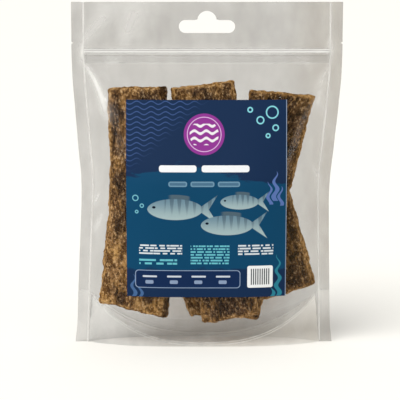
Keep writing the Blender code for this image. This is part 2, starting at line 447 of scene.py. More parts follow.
strip_points = []
for strip_name, (*corners, bow, curl, pale, seed) in STRIPS.items():
    feet, heads = np.array(corners).reshape(2, 2, 3) / 1000
    wide = (np.linalg.norm(feet[1] - feet[0]) + np.linalg.norm(heads[1] - heads[0])) / 2
    long = np.linalg.norm(heads.mean(0) - feet.mean(0))
    values = {"Width": wide, "Thickness": STRIP_THICK, "Length": long, "Step": STEP_ALONG}
    values |= {"Curl": curl / 1000, "Seed": seed * SEED_STEP}
    values["Material"] = skin_material(strip_name + "_skin", pale)
    strip_mesh = grow(strip_name, strip_nodes, values)
    where = np.empty(3 * len(strip_mesh.vertices), np.float32)
    strip_mesh.vertices.foreach_get("co", where)
    x, y, z = where.reshape(-1, 3).T
    # The block is stretched between the strip's four corners, and its thickness stands square to them.
    right, up = (x / wide + 0.5)[:, None], (z / long + 0.5)[:, None]
    foot = feet[0] + (feet[1] - feet[0]) * right
    head = heads[0] + (heads[1] - heads[0]) * right
    back = np.cross(heads.mean(0) - feet.mean(0), feet[1] - feet[0] + heads[1] - heads[0])
    placed = foot + (head - foot) * up + y[:, None] * back / np.linalg.norm(back)
    placed[:, 0] += bow / 1000 * 4 * up[:, 0] * (1 - up[:, 0])
    strip_mesh.vertices.foreach_set("co", placed.astype(np.float32).ravel())
    strip_mesh.update()
    strip_mesh.shade_smooth()
    strip_points.append(placed)
    piece = new_object(strip_name, strip_mesh)
    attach(piece, "root")
    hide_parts("pouch")


# ---------------- film pouch
# Two panels of clear, faintly grey film, welded together down the sides, and a third one folded in at
# the foot. Film doesn't stretch, so it bulges out only as far as the sides are drawn in.
WIDTH = 0.16
HEIGHT = 0.205
SEAL_FLAT = 0.0073
SEAL_TURNED = 0.0066
BASE_SHIFT = -0.0019
BULGE_POWER = 3.4
FILM_HALF_GAP = 0.00018  # half the distance between the panels where they lie on each other
# Height over the foot, and half the depth of the contents there.
BULGE = (
    (0, 0.013), (0.03, 0.0156), (0.07, 0.0186), (0.098, 0.0202), (0.123, 0.0162),
    (0.147, 0.0104), (0.16, 0.0058), (0.17, 0.0024), (0.18, 0.0004), (HEIGHT, FILM_HALF_GAP),
)
SEAL_WIDTH = (
    (0, 0.0075), (0.014, SEAL_TURNED), (0.08, SEAL_TURNED), (0.115, SEAL_FLAT), (HEIGHT, SEAL_FLAT),
)
ZIP_HEIGHT = 0.1757
ZIP_RIDGE = 0.0005
LABEL_WIDE = 0.0947
LABEL_SHIFT = -0.0003
LABEL_BOTTOM = 0.031
LABEL_TOP = 0.1482


def smooth(t):
    return t * t * (3 - 2 * t)


def smooth_through(stations, heights):
    """A smooth curve through (height, value) stations, read at many heights."""
    at, value = np.array(stations).T
    chords = np.diff(value) / np.diff(at)
    before, after = chords[:-1], chords[1:]
    level = before * after <= 0
    middle = np.where(level, 0, 2 * before * after / np.where(level, 1, before + after))
    slope = np.concatenate([[chords[0]], middle, [chords[-1]]])
    step = np.clip(np.searchsorted(at, heights) - 1, 0, len(at) - 2)
    length = at[step + 1] - at[step]
    t = (heights - at[step]) / length
    bend = slope[step] * (1 - t) - slope[step + 1] * t
    return value[step] + (value[step + 1] - value[step]) * smooth(t) + length * t * (1 - t) * bend


def open_half_width(heights):
    """Half the width between the seals: a panel keeps its length, so its bulge draws the sides in."""
    flat = WIDTH / 2 - SEAL_FLAT
    across = np.linspace(0, 1, 65)
    profile = smooth_through(BULGE, heights)[:, None] * (1 - across**BULGE_POWER)
    low, high = np.full(len(heights), flat / 2), np.full(len(heights), flat)
    for _ in range(30):
        half = (low + high) / 2
        arc = np.hypot(np.diff(across * half[:, None], axis=1), np.diff(profile, axis=1)).sum(1)
        low = np.where(arc < flat, half, low)
        high = np.where(arc < flat, high, half)
    return half


def centre(heights):
    return BASE_SHIFT * (1 - smooth(np.minimum(1, heights / ZIP_HEIGHT)))


HEIGHTS_KNOWN = np.linspace(0, HEIGHT, 411)
HALF_KNOWN = open_half_width(HEIGHTS_KNOWN)


def half_at(heights):
    return np.interp(heights, HEIGHTS_KNOWN, HALF_KNOWN)


def share_across(x, z):
    """0 on a panel's middle line, and 1 at the seals."""
    return abs(x - centre(z)) / half_at(z)


def ramp(value, reach):
    """0 up to 0, and then even to 1 at the reach."""
    return np.clip(value / reach, 0, 1)


def bell(value, reach):
    """1 at 0, and fading to both sides over the reach."""
    return np.exp(-((value / reach) ** 2))


# Ripples: height, wavelength and how many waves.
HEADER_RIPPLE = (0.0006, 0.045, 8)
SEAL_RIPPLE = (0.0003, 0.02, 8)
BELLY_RIPPLE = (0.0004, 0.04, 9)
FINE_RIPPLE = (0.00004, 0.012, 12)
WELD_RIPPLE = (0.12, 0.03, 6)


def ripples(x, z, height, length, count, seed):
    """Soft unevenness of about this wavelength: a sum of waves in random directions."""
    draw = np.random.default_rng(seed)
    total = np.zeros_like(x)
    for _ in range(count):
        angle = draw.uniform(0, math.pi)
        wave = 2 * math.pi / (length * draw.uniform(0.7, 1.5))
        phase = draw.uniform(0, 2 * math.pi)
        total += np.sin(wave * (x * math.cos(angle) + z * math.sin(angle)) + phase)
    return height * (total / math.sqrt(count))


def near_line(x, z, start, bend, end):
    """The distance to a bent line, and how far along it that is, 0 to 1."""
    t = np.linspace(0, 1, 41)[:, None]
    line = (1 - t) ** 2 * np.array(start) + 2 * t * (1 - t) * np.array(bend) + t**2 * np.array(end)
    apart = np.full(x.shape, 1e9)
    place = np.zeros(x.shape)
    for share, (line_x, line_z) in zip(t[:, 0], line):
        here = np.hypot(x - line_x, z - line_z)
        place = np.where(here < apart, share, place)
        apart = np.minimum(here, apart)
    return apart, place


# Fold lines in millimetres: start, bend and end in X and Z, height and width, and then how white the
# film is painted there, partly stress-whitening and partly painted highlight. The first runs from the
# zip's left end down to the contents, and the others fan out round both ends of the zip and where the
# sides are drawn in most.
FOLDS = (
    ((-73.5, 169), (-63.8, 159), (-58.8, 136.5), 1, 2.6, 0.88),
    ((-73.5, 170), (-74.2, 176.5), (-72.7, 183), 1, 1.2, 0.9),
    ((72.2, 170), (72.8, 175.5), (72.2, 182.5), 0.5, 1, 0.7),
    ((72.4, 169), (69, 160), (65.7, 154.5), 0.3, 2.2, 0.42),
    ((65.7, 154.5), (66.2, 149), (68, 140), 0.2, 2, 0.4),
    ((-63.8, 93), (-65.5, 89), (-67.5, 85), 0.2, 1.1, 0.6),
    ((-62, 80), (-64.5, 75), (-67, 69), 0.1, 1.6, 0.45),
    ((62.7, 109), (65, 104), (67.2, 99), 0.1, 1.6, 0.45),
)
# Two flat streaks of painted highlight, soft reflections on the film, run up through the header.
HEADER_FOLDS = (
    ((-73.7, 179.5), (-71.5, 186.5), (-52, 204), 0, 5, 0.48),
    ((-50, 179), (-45.5, 193), (-38.5, 208), 0, 8.8, 0.47),
)


def folded(x, z, folds):
    """How far folds lift the film, in metres, and how white they are painted: stress-whitening and
    painted highlight.
    """
    lift = np.zeros(x.shape)
    white = np.zeros(x.shape)
    for start, bend, end, height, width, strain_and_highlight in folds:
        apart, place = near_line(1000 * x, 1000 * z, start, bend, end)
        taper = np.clip(4 * (place + 0.03) * (1.03 - place), 0, 1) ** 0.5
        width = width * (0.4 + 0.9 * place)
        fade = bell(apart, width)
        beyond = np.where((place <= 0) | (place >= 1), fade, 1)
        lift += height / 1000 * taper * np.exp(-np.sqrt(apart**2 + (0.3 * width) ** 2) / width)
        white = np.maximum(white, strain_and_highlight * taper * beyond * fade)
    return lift, white


HEADER_FOOT = 0.18
BELLY_TOP = 0.172


def sway(x, z):
    """How far forward both panels lie together, in the header and the side seals."""
    header = ramp(z - HEADER_FOOT, 0.01)
    seal = ramp(share_across(x, z) - 0.97, 0.08)
    waves = ripples(x, z, *HEADER_RIPPLE, 31) * header + ripples(x, z, *SEAL_RIPPLE, 32) * seal
    return waves * np.maximum(header, seal)


def bare_out(x, z):
    """How far the smooth panel lies from the middle plane."""
    inside = np.minimum(1, share_across(x, z))
    bulge = smooth_through(BULGE, z)
    return FILM_HALF_GAP + (bulge - FILM_HALF_GAP) * (1 - inside**BULGE_POWER)


LATTICE_COLUMNS = 161  # where the film drapes over the strips is worked out on points 1 mm apart
LATTICE_ROWS = 206
DRAPE_GAP = 0.0005
DRAPE_ROUNDS = 90
DRAPE_CARRY = 0.985  # how much of its height the film keeps from one point to the next


def on_lattice(x, z):
    return (x + WIDTH / 2) * 1000, z * 1000


def draped_over(side):
    """On the lattice, how much further out the film goes to pass over the strips."""
    columns = np.linspace(-WIDTH / 2, WIDTH / 2, LATTICE_COLUMNS)
    x, z = np.meshgrid(columns, np.linspace(0, HEIGHT, LATTICE_ROWS))
    reach = np.full(x.shape, -1.0)
    for points in strip_points:
        column, row = (np.rint(n).astype(int) for n in on_lattice(points[:, 0], points[:, 2]))
        inside = (column >= 0) & (column < LATTICE_COLUMNS) & (row >= 0) & (row < LATTICE_ROWS)
        np.maximum.at(reach, (row[inside], column[inside]), side * points[inside, 1])
    pushed = np.clip(reach + DRAPE_GAP - bare_out(x, z), 0, None)
    film_over = pushed
    for _ in range(DRAPE_ROUNDS):
        padded = np.pad(film_over, 1, mode="edge")
        even = (padded[2:, 1:-1] + padded[:-2, 1:-1] + padded[1:-1, 2:] + padded[1:-1, :-2]) / 4
        film_over = np.maximum(pushed, DRAPE_CARRY * even)
    return film_over


DRAPE = {side: draped_over(side) for side in (-1, 1)}


def read_lattice(values, x, z):
    column, row = on_lattice(x, z)
    column = np.clip(column, 0, LATTICE_COLUMNS - 1.001)
    row = np.clip(row, 0, LATTICE_ROWS - 1.001)
    left, low = column.astype(int), row.astype(int)
    across, up = column - left, row - low
    rows = (low, low + 1)
    under, over = (values[n, left] * (1 - across) + values[n, left + 1] * across for n in rows)
    return under * (1 - up) + over * up


def film_y(x, z, side):
    """Where the film of the front (side -1) or of the back (side 1) lies in Y."""
    inside = share_across(x, z)
    free = ramp(1 - inside, 0.12) ** 0.7
    # Behind the label the film is stiffer, and its ripples are flatter.
    beside = abs(x - LABEL_SHIFT) - LABEL_WIDE / 2
    beyond = abs(z - (LABEL_BOTTOM + LABEL_TOP) / 2) - (LABEL_TOP - LABEL_BOTTOM) / 2
    limp = ramp(np.maximum(beside, beyond), 0.004) if side < 0 else 1
    relief = ripples(x, z, *BELLY_RIPPLE, 5 - side) * (0.3 + 0.7 * limp)
    relief = relief + ripples(x, z, *FINE_RIPPLE, 8 - side) * limp
    relief = relief * free * ramp(BELLY_TOP - z, 0.02)
    lift, _ = folded(x if side < 0 else -x, z, FOLDS)
    drape = read_lattice(DRAPE[side], x, z) * ramp(1 - inside, 0.03)
    loose = np.maximum(relief + lift + drape, 0) * (inside < 1)
    zip_ridge = ZIP_RIDGE * bell(z - ZIP_HEIGHT, 0.001) * ramp(1 - inside, 0.02)
    return side * (bare_out(x, z) + loose + zip_ridge) - sway(x, z)


# Painted highlights of the zip's ribs, where they press on the film: height over its middle in
# millimetres, and how white.
ZIP_RIB_HIGHLIGHTS = (
    (-6.75, 0), (-6.65, 0.2), (-6.15, 0.2), (-6.05, 0), (-2.5, 0), (-1.6, 0), (-0.8, 0),
    (-0.72, 0.76), (-0.15, 0.84), (-0.08, 1), (0.5, 1), (0.58, 0.55), (1.02, 0.55), (1.1, 0.92),
    (1.66, 0.92), (1.74, 0), (2.5, 0),
)
ZIP_END_SPOTS = (  # how white, where the middle is, and the reach in X and Z
    (1, (-0.0737, 0.1755), (0.0021, 0.006)),
    (0.9, (0.073, 0.1765), (0.0013, 0.0045)),
)
# Along the folds, strain and painted highlight are one mark; this much of it shows in the back panel.
BACK_STRAIN_AND_HIGHLIGHT = 0.15  # what shows of the strain in the back panel


def whitened_and_highlighted(x, z, side):
    """How white the film is: along its folds partly strained and partly painted highlight, painted
    highlights in the header and on the zip's ribs, and white at the welds and at the zip's ends.
    """
    inside = share_across(x, z)
    _, folds = folded(x if side < 0 else -x, z, FOLDS)
    _, header = folded(x, z, HEADER_FOLDS)
    # Along the folds, stress-whitening and painted highlight are one mark; the header streaks are
    # painted highlight only.
    strained_and_highlighted = np.maximum(folds, header) * (1 if side < 0 else BACK_STRAIN_AND_HIGHLIGHT)
    ends = np.zeros(x.shape)
    for level, (middle_x, middle_z), (reach_x, reach_z) in ZIP_END_SPOTS:
        ends += level * bell(x - middle_x, reach_x) * bell(z - middle_z, reach_z)
    rise, shine = np.array(ZIP_RIB_HIGHLIGHTS).T
    zip_highlight = np.interp((z - ZIP_HEIGHT) * 1000, rise, shine) * (inside < 0.998)
    uneven = np.clip(0.88 + ripples(x, z, *WELD_RIPPLE, 41 + side), 0, 1)
    weld = bell(inside - 1, 0.006) * uneven
    return np.clip(np.max([strained_and_highlighted, ends, zip_highlight, weld], axis=0), 0, 1)


# A painted shadow of the strips, warm brown, on the film near the foot.
STRIP_SHADOW_MIDDLE = 0.0125
STRIP_SHADOW_WIDE = 0.049
STRIP_SHADOW_TOP = 0.06


def strip_shadow_on_film(x, z, over_weld):
    """A painted shadow of the strips on the film near the foot: how strongly it clouds the film."""
    up = smooth(ramp(over_weld + 0.003, 0.019))
    return bell(x - STRIP_SHADOW_MIDDLE, STRIP_SHADOW_WIDE) * up * ramp(STRIP_SHADOW_TOP - z, 0.03) ** 2


FILM_COLUMNS = 167  # from seal to seal; they crowd towards the sides, where the folds are
SEAL_COLUMNS = 7
ROW_SHARES = (0, 0.1, 0.62, 0.9, 1)  # rows crowd at the foot and below the zip
ROW_PLACES = (0, 0.02, 0.15, 0.178, HEIGHT)
FILM_ROWS = 194
ZIP_ROW_SPAN = 0.0026  # either side of the zip's middle, the rows are where its lines are
ROW_APART = 0.0002
SKIRT_STEPS = 8
ARCH_STEPS = 24
SKIRT_GAP = 0.0003
GUSSET_FOLD = 0.0322  # height of the gusset's fold in the side seals
WELD_LINE = (0.0025, 0.0291)  # its height at the middle of the foot, and how much it rises to the seals
CROWN_LINE = (0.013, 0.0186)
SAME_POINT = 0.000004


def gusset_height(line, inside):
    low, rise = line
    return low + rise * np.minimum(1, abs(inside)) ** 2.5


def quads(index):
    """The faces of a grid of point numbers."""
    a, b, c, d = index[:-1, :-1], index[:-1, 1:], index[1:, 1:], index[1:, :-1]
    return np.stack([a, b, c, d], -1).reshape(-1, 4).tolist()


def note(mesh, name, *parts):
    """Keeps a number at each point of a mesh, for its material to read."""
    values = np.concatenate([part.ravel() for part in parts]).astype(np.float32)
    mesh.attributes.new(name, "FLOAT", "POINT").data.foreach_set("value", values)


even = np.linspace(-1, 1, FILM_COLUMNS)
crowded = 1.25 * even - 0.25 * even**3
seal = np.linspace(1, 2, SEAL_COLUMNS + 1)[1:]
column = np.concatenate([-seal[::-1], crowded, seal])
height = np.interp(np.linspace(0, 1, FILM_ROWS), ROW_SHARES, ROW_PLACES)
zip_rows = ZIP_HEIGHT + 0.001 * np.array(ZIP_RIB_HIGHLIGHTS)[:, 0]
nearest = abs(height[:, None] - zip_rows).min(1)
height = height[(abs(height - ZIP_HEIGHT) > ZIP_ROW_SPAN) & (nearest > ROW_APART)]
height = np.sort(np.concatenate([height, zip_rows]))
across, z = np.meshgrid(column, height)
inside = np.clip(across, -1, 1)
seal_out = smooth_through(SEAL_WIDTH, z) * (across - inside)
x = centre(z) + half_at(z) * inside + seal_out
panels = {side: film_y(x, z, side) for side in (-1, 1)}

# The gusset: up inside the front skirt, which it is welded to, over an arch, and down at the back.
weld, crown = gusset_height(WELD_LINE, column), gusset_height(CROWN_LINE, column)
middle = (panels[-1][0] + panels[1][0]) / 2
opening = (panels[1][0] - panels[-1][0]) / 2
slit = ramp(opening - 0.0004, 0.0012) * (abs(column) < 1)
skirt_turns = np.linspace(1, 2, SKIRT_STEPS + 1)
arch_turns = np.linspace(-1, 1, ARCH_STEPS + 1)[1:-1]
under = []
for turn in (*-skirt_turns[::-1], *arch_turns, *skirt_turns):
    side = -1 if turn < 0 else 1
    wall = min(1, 2 - abs(turn))
    arch = max(0, 1 - abs(turn)) * math.pi / 2
    level = slit * (weld * wall + (crown - weld) * math.sin(arch))
    skirt = np.array([np.interp(level[n], height, panels[side][:, n]) for n in range(len(column))])
    reach = skirt - side * np.minimum(SKIRT_GAP, 0.45 * opening)
    y = middle + (reach - middle) * math.cos(arch)
    under.append(np.stack([x[0], y, level], -1))
under = np.array(under)

points = [np.stack([x, panels[side], z], -1).reshape(-1, 3) for side in (-1, 1)]
points = np.concatenate([*points, under.reshape(-1, 3)])
front = np.arange(x.size).reshape(x.shape)
back = front + x.size
gusset = 2 * x.size + np.arange(under.shape[0] * len(column)).reshape(-1, len(column))
sole = np.vstack([back[0], gusset[::-1], front[0]])
faces = []
for grid in (front, back[:, ::-1], sole, np.vstack([front[-1], back[-1]])):
    faces.extend(quads(grid))
for end, order in ((0, 1), (-1, -1)):
    for low in range(len(height) - 1):
        rim = [front[low, end], front[low + 1, end], back[low + 1, end], back[low, end]]
        rim += [] if low else list(gusset[::-1, end])
        faces.append([int(n) for n in rim[::order]])

mesh = bpy.data.meshes.new("pouch_film")
mesh.from_pydata(points.tolist(), [], faces)
mesh.update()
in_seal = (abs(across) >= 1) & (z < GUSSET_FOLD)
welded = np.where(in_seal, 0.3, z < weld * slit)
under_x, _, under_z = np.moveaxis(under, -1, 0)
risen = np.clip((under_z - weld) / (crown - weld), 0, 1)
panel_zeros, gusset_zeros = np.zeros(x.shape), np.zeros(gusset.shape)
note(mesh, "doubled", welded, welded, gusset_zeros + 1)
note(mesh, "white", whitened_and_highlighted(x, z, -1), whitened_and_highlighted(x, z, 1), gusset_zeros)
# The strips' painted shadow on the back panel, and weaker on the gusset.
note(mesh, "strip_shadow", panel_zeros, strip_shadow_on_film(x, z, z - weld), 0.35 * strip_shadow_on_film(under_x, under_z, under_z - weld))
note(mesh, "thin", panel_zeros, panel_zeros, np.minimum(1, risen / 0.8) ** 1.5)
shape = bmesh.new()
shape.from_mesh(mesh)
bmesh.ops.remove_doubles(shape, verts=shape.verts, dist=SAME_POINT)
shape.to_mesh(mesh)
shape.free()
mesh.shade_smooth()

FILM_ALPHA = 0.249
FILM_TONES = ((0.029, 0.012, 0), (0.037, 0.017, 0.002))
# Painted shade on the right side, which turns from the key light.
RIGHT_SIDE_SHADE_TONE = (0.085, 0.045, 0)
# Painted light and shade on the doubled film: darker at the left end of the foot, and lighter at the
# right, where the floor's shadow lies behind.
FOOT_SHADE_TO_LIGHT_TONES = ((0.02, 0.015, 0.01), (0.48, 0.42, 0.33))  # at the left end of the foot and at the right
# The colour of the strips' painted shadow near the foot.
STRIP_SHADOW_TONE = (0.4, 0.26, 0.13)
# The white of strained film and of painted highlights.
STRAIN_AND_HIGHLIGHT_TONE = (0.8, 0.79, 0.76)
film_material, nodes = new_material("film", specular_ior_level=0.24, ior=1.5)
white, doubled = nodes.attribute("white"), nodes.attribute("doubled")
strip_shadow, thin = nodes.attribute("strip_shadow"), nodes.attribute("thin")
place = nodes.place()
x, _, z = place.xyz()
# A cloudiness as wide as a finger, and a finer one for the small ripples.
cloud = nodes.noise(place.drawn_out(0.6), 32)
mottle = nodes.noise(place.drawn_out(0.5), 120, 3)
# Painted shade: the right side, which turns from the key light, is greyer. Painted light: a band on the
# left side is clearer.
right_side_shade = x.rise(0.04, 0.068) * z.rise(0.02, 0.06)
left_side_light = x.rise(-0.058, -0.068) * z.rise(0.05, 0.08) * z.rise(0.13, 0.105)
header = z.rise(0.177, 0.183) * z.rise(0.204, 0.195)

colour = right_side_shade.blend(cloud.blend(*FILM_TONES), RIGHT_SIDE_SHADE_TONE)
# The doubled film is painted darker at the left end of the foot and lighter at the right.
colour = doubled.blend(colour, x.rise(-0.07, 0.058).blend(*FOOT_SHADE_TO_LIGHT_TONES))
# The strips' painted shadow clouds the film brown near the foot.
colour = strip_shadow.blend(colour, STRIP_SHADOW_TONE)
# Whiteness: strain and welds, and painted highlights along the folds, in the header and on the zip's
# ribs.
nodes.feed("Base Color", white.math("POWER", 0.7).blend(colour, STRAIN_AND_HIGHLIGHT_TONE))
alpha = (1 - doubled * 0.58) * FILM_ALPHA + strip_shadow * 0.34
alpha = alpha * (1 - thin * 0.97) + white.math("POWER", 1.3) * 0.45 + (0.5 - cloud) * 0.1
alpha = alpha + (right_side_shade * 0.055).math("MAXIMUM", header * 0.03) + (0.5 - mottle) * 0.13
nodes.feed("Alpha", alpha - left_side_light * 0.03)
nodes.feed("Roughness", doubled * 0.5 + header * 0.26 + 0.11)
mesh.materials.append(film_material)
film = new_object("pouch_film", mesh)

SLOT_HALF = 0.0166
SLOT_TALL = 0.0076
SLOT_BOTTOM = 0.1868
HUMP_RADIUS = 0.0058
HOLE_TALL = 0.0129
HUMP_FILLET = 0.003
NOTCH_HEIGHT = 0.181
NOTCH_DEEP = 0.0012
NOTCH_TALL = 0.0011
CUT_REACH = 0.01  # to the front and to the back of the middle plane


def arc(middle, radius, start, end, steps=12):
    turn = np.radians(np.linspace(start, end, steps))
    return [(middle[0] + radius * math.cos(a), middle[1] + radius * math.sin(a)) for a in turn]


def hang_hole():
    """The slot's right end, the fillet and half the hump, and then the same mirrored."""
    end = SLOT_TALL / 2
    right = arc((SLOT_HALF - end, SLOT_BOTTOM + end), end, -90, 90)
    fillet_middle = (HUMP_RADIUS + HUMP_FILLET * 0.6, SLOT_BOTTOM + SLOT_TALL + HUMP_FILLET)
    right += arc(fillet_middle, HUMP_FILLET, 270, 200, 6)
    right += arc((0, SLOT_BOTTOM + HOLE_TALL - HUMP_RADIUS), HUMP_RADIUS, 8, 90)[:-1]
    left = [(-x, z) for x, z in reversed(right)]
    return [*right, (0, SLOT_BOTTOM + HOLE_TALL), *left]


def tear_notch(side):
    tip = side * (WIDTH / 2 - NOTCH_DEEP)
    mouth = side * (WIDTH / 2 + NOTCH_DEEP)
    return [(tip, NOTCH_HEIGHT), (mouth, NOTCH_HEIGHT + NOTCH_TALL), (mouth, NOTCH_HEIGHT - NOTCH_TALL)]


def cut_through(piece, outline):
    """Cuts an outline in X and Z out of a piece, from front to back."""
    shape = bmesh.new()
    face = shape.faces.new([shape.verts.new((x, -CUT_REACH, z)) for x, z in outline])
    pushed = bmesh.ops.extrude_face_region(shape, geom=[face])["geom"]
    moved = [v for v in pushed if isinstance(v, bmesh.types.BMVert)]
    bmesh.ops.translate(shape, verts=moved, vec=(0, 2 * CUT_REACH, 0))
    bmesh.ops.recalc_face_normals(shape, faces=shape.faces)
    mesh = bpy.data.meshes.new("cutter")
    shape.to_mesh(mesh)
    shape.free()
    cutter = new_object("cutter", mesh)
    modifier = piece.modifiers.new("cut", "BOOLEAN")
    modifier.operation = "DIFFERENCE"
    modifier.solver = "MANIFOLD"
    modifier.object = cutter
    old, new = piece.data, plain_mesh(piece)
    piece.modifiers.clear()
    piece.data = new
    bpy.data.meshes.remove(old)
    bpy.data.objects.remove(cutter)


for outline in (hang_hole(), tear_notch(-1), tear_notch(1)):
    cut_through(film, outline)
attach(film, "root")
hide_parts("pouch")


# ---------------- weld lines
# Where the sealing bars ended, the film is left with a thin raised bead: down the inner edge of both
# side seals, along the gusset's weld, front and back, and across the seals at the gusset's fold.
bead_nodes, bead = geometry_tree("weld_bead", "Radius")
path = bead_nodes.add("GeometryNodeMeshToCurve", sockets={"Mesh": bead["Geometry"]})
ring = {"Resolution": 6, "Radius": bead["Radius"]}
ring = bead_nodes.add("GeometryNodeCurvePrimitiveCircle", sockets=ring)
tube = {"Curve": path, "Profile Curve": ring, "Fill Caps": True}
tube = bead_nodes.add("GeometryNodeCurveToMesh", sockets=tube)
close_tree(bead_nodes, tube, bead["Material"])

bead_material, bead_paint = new_material("weld_bead", roughness=0.25)
bead_cloud = bead_paint.noise(bead_paint.place(), 120)
bead_paint.feed("Base Color", bead_cloud.blend((0.84, 0.83, 0.8), (0.93, 0.92, 0.89)))
bead_paint.feed("Alpha", bead_cloud.rise(0.2, 0.8) * 0.25 + 0.27)


def bead_along(name, x, y, z, radius):
    mesh = bpy.data.meshes.new(name)
    points = np.stack([x, y, z], -1)
    mesh.from_pydata(points.tolist(), [(n, n + 1) for n in range(len(points) - 1)], [])
    values = {"Radius": radius, "Material": bead_material}
    grown = grow(name, bead_nodes, values, mesh)
    grown.shade_smooth()
    piece = new_object(name, grown)
    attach(piece, "root")
    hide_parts("pouch")


SEAL_BEAD = 0.00026
ARC_BEAD = 0.00011
BEAD_ENDS = 0.0006  # the beads stop this far from the top and the foot
WELD_BAND = 0.0015  # between the two lines of the gusset's weld
for side_name, side in (("left", -1), ("right", 1)):
    z = np.linspace(BEAD_ENDS, HEIGHT - BEAD_ENDS, 220)
    x = centre(z) + side * half_at(z)
    bead_along("seal_bead_" + side_name, x, -sway(x, z), z, SEAL_BEAD)
    fold = np.linspace(1, 1.97, 12)
    z = np.full(12, GUSSET_FOLD)
    x = centre(z) + side * (half_at(z) + smooth_through(SEAL_WIDTH, z) * (fold - 1))
    bead_along("fold_bead_" + side_name, x, -sway(x, z), z, ARC_BEAD)
across = np.linspace(-0.985, 0.985, 140)
upper = gusset_height(WELD_LINE, across)
# The lower line leaves the film in the middle of the foot, so it is in two pieces.
gusset_lines = (
    ("", upper, across < 1),
    ("_left", upper - WELD_BAND, across < 0),
    ("_right", upper - WELD_BAND, across > 0),
)
for panel_name, side in (("front", -1), ("back", 1)):
    for end_name, heights, chosen in gusset_lines:
        chosen = chosen & (heights > 0.0008)
        z = heights[chosen]
        x = centre(z) + half_at(z) * across[chosen]
        bead_along("gusset_bead_" + panel_name + end_name, x, film_y(x, z, side), z, ARC_BEAD)


# ---------------- press-to-close zip
# Two extruded rails of clear plastic, fixed inside the panels below the hang hole. One has a rib that
# snaps into the other's groove, and both have a thin flange that hangs below. Heat has crushed the ends.
ZIP_COLUMNS = 120
RAIL_GAP = 0.00022  # from the film to the rail's back
# The rail's cross-section: depth in from the film and height over the zip's middle, in millimetres, with
# how light the plastic is painted there; the dark line under the rib is painted shade.
RAIL = (
    (0, 2.3, 0), (0, -1.85, 0), (0, -1.95, -0.45), (0, -2.5, -0.45),
    (0, -2.6, -0.16), (0, -6, -0.16), (0, -6.1, 0.1), (0, -6.7, 0.1),
    (0.16, -6.7, 0), (0.2, -2.6, 0), (0.35, -1.6, 0), (0.55, -0.8, 0),
    (0.75, 0, 0), (0.55, 0.8, 0), (0.22, 1.5, 0), (0.18, 2.3, 0),
)

rail_material, rail_paint = new_material("zip_plastic", roughness=0.22, ior=1.5)
rail_light_and_shade = rail_paint.attribute("light")
rail_cloud = rail_paint.noise(rail_paint.place(), 90)
# Below zero the plastic is painted dark: the line under the rib is painted shade.
rail_colour = rail_light_and_shade.rise(-0.05, 0.1).blend((0.03, 0.026, 0.02), (0.86, 0.85, 0.83))
rail_paint.feed("Base Color", rail_colour)
rail_paint.feed("Alpha", abs(rail_light_and_shade) * 0.2 + rail_cloud * 0.02)


def zip_rail(name, side):
    depth, rise, light = np.array(RAIL).T
    across = np.linspace(-1, 1, ZIP_COLUMNS)
    crushed = 0.35 + 0.65 * ramp(1 - abs(across), 0.03)
    z = ZIP_HEIGHT + 0.001 * rise[:, None] + 0 * across
    x = centre(z) + half_at(z) * across * 0.998
    y = film_y(x, z, side) - side * (RAIL_GAP + 0.001 * depth[:, None] * crushed)
    index = np.arange(z.size).reshape(z.shape)[::side]  # so that the faces wind outwards
    faces = quads(np.vstack([index, index[:1]]))
    faces += [index[:, 0].tolist(), index[::-1, -1].tolist()]
    mesh = bpy.data.meshes.new(name)
    mesh.from_pydata(np.stack([x, y, z], -1).reshape(-1, 3).tolist(), [], faces)
    note(mesh, "light", np.repeat(light, ZIP_COLUMNS))
    mesh.shade_smooth()
    mesh.materials.append(rail_material)
    piece = new_object(name, mesh)
    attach(piece, "root")
    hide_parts("pouch")


zip_rail("zip_rail_front", -1)
zip_rail("zip_rail_back", 1)


# ---------------- label
# A rectangle of white film with a matt print, stuck on the front panel. Its print is plain: fields of
# colour, simple fish, waves and bubbles, ribbons of weed, and rows of bars.
LABEL_COLUMNS = 95
LABEL_ROWS = 117
LABEL_THICK = 0.00016
LABEL_GLUE = 0.0001
PRINT_LEVEL = 0.82  # the light on the front is a little stronger than white, so the inks are darker
PRINT_GLOSS = 0.0085  # and the gloss of the coating adds this much to them
# The print is laid out in millimetres from the label's lower left corner.
PALE_GREY = (224, 232, 236)
PALE_TEAL = (110, 196, 208)
BUBBLES = (  # thickness and ink, and then the middles and radii
    (0.8, (136, 214, 224), (
        (86, 110, 3.4), (79, 105.5, 2), (88, 101, 1.6), (73, 111.5, 1.3), (83.5, 96.5, 1.1),
    )),
    (0.6, (120, 190, 205), ((5.5, 60, 1.6), (9.3, 55.5, 1), (6.2, 51.8, 0.8))),
)
WEED = (  # ink, and then each ribbon's root, foot, head and half width
    ((96, 122, 184), ((88, 58, 76, 1.5), (84.5, 56, 70, 1.1), (91, 55, 67, 1.1))),
    ((74, 106, 150), ((4, 0, 14, 1.2), (8, 0, 9.5, 1))),
    ((52, 132, 152), ((90, 0, 26, 1.4), (86.5, 0, 5.5, 1.2))),
)
# Fish: nose, length and half height.
FISH = ((12.5, 53.5, 39, 6.6), (44, 44, 37, 6.2), (55.5, 58, 27, 4.6))
# Blocks of fine bars: left, bottom, right, top, rows, how long the bars are, a seed and the ink.
BAR_BLOCKS = (
    (7.5, 26, 33, 32.4, 4, 2.2, 3.1, PALE_GREY),
    (7.5, 19.6, 30, 23.8, 2, 3.4, 9.7, PALE_TEAL),
    (38, 20, 61, 32.2, 7, 1.6, 5.3, PALE_TEAL),
    (66, 25.6, 87, 32.4, 4, 2, 8.8, PALE_GREY),
)

label_material, label_nodes = new_material("label_print", roughness=0.5, specular_ior_level=0.06)
label_x, _, label_z = label_nodes.place().xyz()
u = (label_x - (LABEL_SHIFT - LABEL_WIDE / 2)) * 1000
v = (label_z - LABEL_BOTTOM) * 1000


